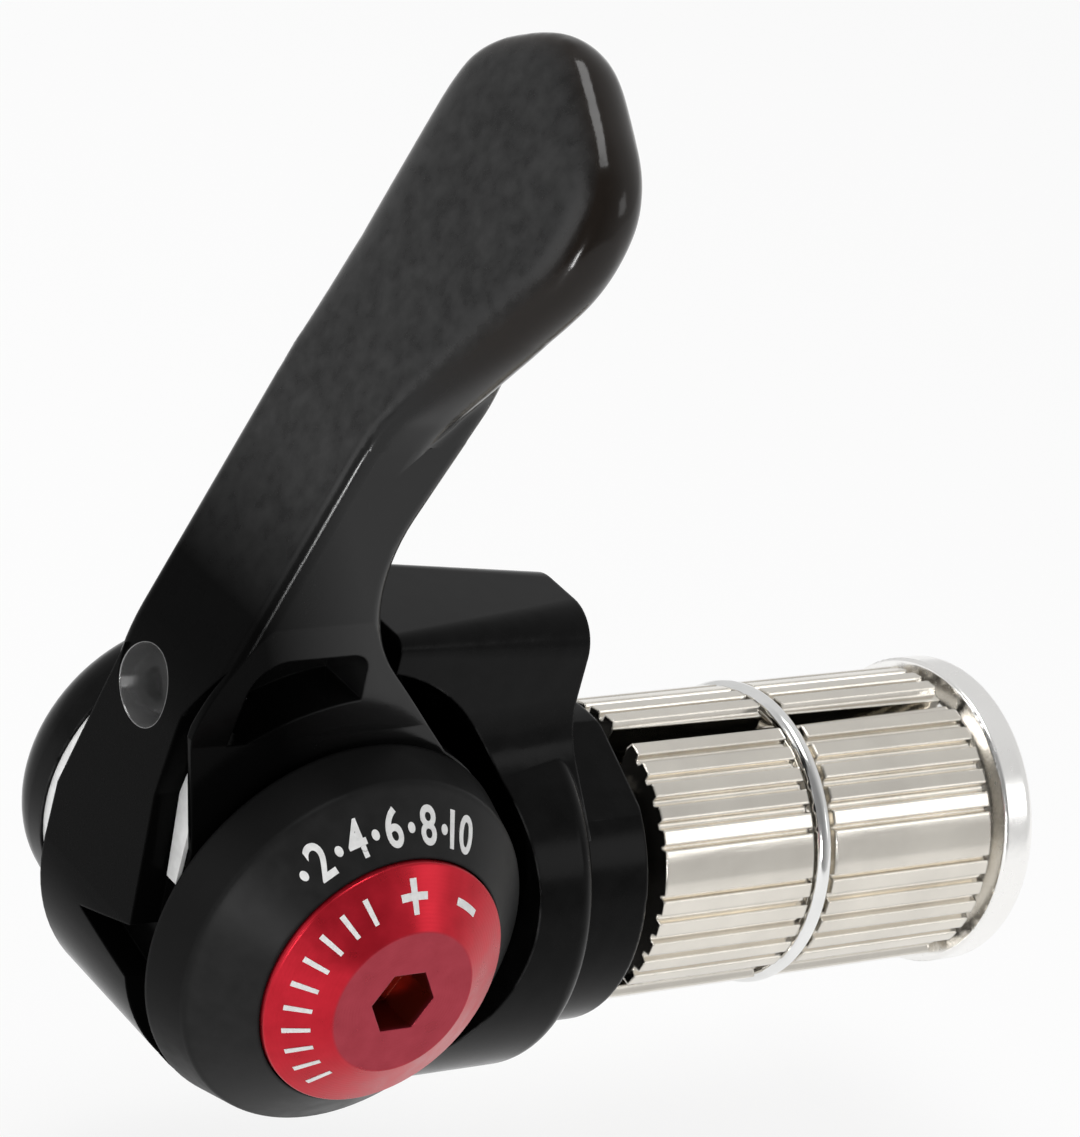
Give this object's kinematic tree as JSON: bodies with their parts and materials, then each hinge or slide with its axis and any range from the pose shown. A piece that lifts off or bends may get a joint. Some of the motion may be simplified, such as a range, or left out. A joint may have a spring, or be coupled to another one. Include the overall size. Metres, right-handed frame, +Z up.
{
  "type": "bar-end shifter",
  "caption": "Bar-end gear shifter: black pod with a pivoting finger lever, pivot cap with red adjusting bolt, cable stop and a ribbed expander plug for the handlebar's end.",
  "frame": {"origin": "centre of the collar's seat face on the end of the handlebar", "axes": "+X along the handlebar's axis into the bar, +Z up along the lever at rest, lever pivot along Y with the cap at -Y"},
  "size_m": [0.0711, 0.0316, 0.0749],
  "materials": {
    "pod_black": "gloss black anodised",
    "lever_black": "satin black",
    "cap_black": "satin black anodised",
    "red_anodised": "red anodised",
    "nickel": "bright nickel plate",
    "spring_wire": "bright zinc plated wire",
    "bright_steel": "bright",
    "steel": "machined",
    "spring_steel": "blued",
    "zinc": "dull grey",
    "bearing_plastic": "natural",
    "white_nylon": "natural white",
    "fibre": "fibre",
    "bolt_black": "black oxide"
  },
  "bodies": {
    "pod": {"pod_body": "pod_black", "pivot_post": "steel", "base_washer": "white_nylon", "detent_balls": "bright_steel", "ball_cage": "bearing_plastic", "detent_spring": "spring_steel", "thrust_plate": "steel", "cone_spring": "spring_steel", "friction_washer": "fibre", "hub_cap": "cap_black", "expander_washer": "steel"},
    "lever": {"lever": "lever_black", "lever_bush": "bearing_plastic", "groove_pad": "white_nylon", "nipple_seat": "zinc", "index_plate": "steel"},
    "expander_bolt": {"expander_bolt": "bolt_black"},
    "wedge": {"wedge_nut": "nickel"},
    "segment_1": {"expander_segment_1": "nickel"},
    "segment_2": {"expander_segment_2": "nickel"},
    "segment_3": {"expander_segment_3": "nickel"},
    "ring": {"ring_spring": "spring_wire"},
    "tension_washer": {"tension_washer": "steel"},
    "tension_bolt": {"tension_bolt": "red_anodised"}
  },
  "joints": [
    {"name": "lever_swing", "type": "hinge", "parent": "pod", "child": "lever", "pos_m": [-0.0244, 0, 0.0032], "axis": [0, -1, 0], "range_deg": [0, 105]},
    {"name": "expander_turn", "type": "hinge", "parent": "pod", "child": "expander_bolt", "pos_m": [0, 0, 0], "axis": [1, 0, 0], "range_deg": [0, 576]},
    {"name": "wedge_slide", "type": "slide", "parent": "pod", "child": "wedge", "axis": [-1, 0, 0], "range_m": [0, 0.0016]},
    {"name": "segment_1_spread", "type": "slide", "parent": "pod", "child": "segment_1", "axis": [-0.866, -0.4636, 0.1873], "range_m": [0, 0.000929]},
    {"name": "segment_2_spread", "type": "slide", "parent": "pod", "child": "segment_2", "axis": [-0.866, 0.0696, -0.4951], "range_m": [0, 0.000929]},
    {"name": "segment_3_spread", "type": "slide", "parent": "pod", "child": "segment_3", "axis": [-0.866, 0.394, 0.3078], "range_m": [0, 0.000929]},
    {"name": "ring_slide", "type": "slide", "parent": "pod", "child": "ring", "axis": [-1, 0, 0], "range_m": [0, 0.000805]},
    {"name": "tension_travel", "type": "slide", "parent": "pod", "child": "tension_washer", "axis": [0, -1, 0], "range_m": [0, 0.0004]},
    {"name": "tension_turn", "type": "hinge", "parent": "tension_washer", "child": "tension_bolt", "pos_m": [-0.0244, 0, 0.0032], "axis": [0, -1, 0], "range_deg": [0, 180]}
  ],
  "couplings": [
    {"joint": "expander_turn", "follows": "wedge_slide", "rad_per_m": 6283.2},
    {"joint": "segment_1_spread", "follows": "wedge_slide", "ratio": 0.57735},
    {"joint": "segment_2_spread", "follows": "wedge_slide", "ratio": 0.57735},
    {"joint": "segment_3_spread", "follows": "wedge_slide", "ratio": 0.57735},
    {"joint": "ring_slide", "follows": "wedge_slide", "ratio": 0.5},
    {"joint": "tension_turn", "follows": "tension_travel", "rad_per_m": 7854}
  ]
}
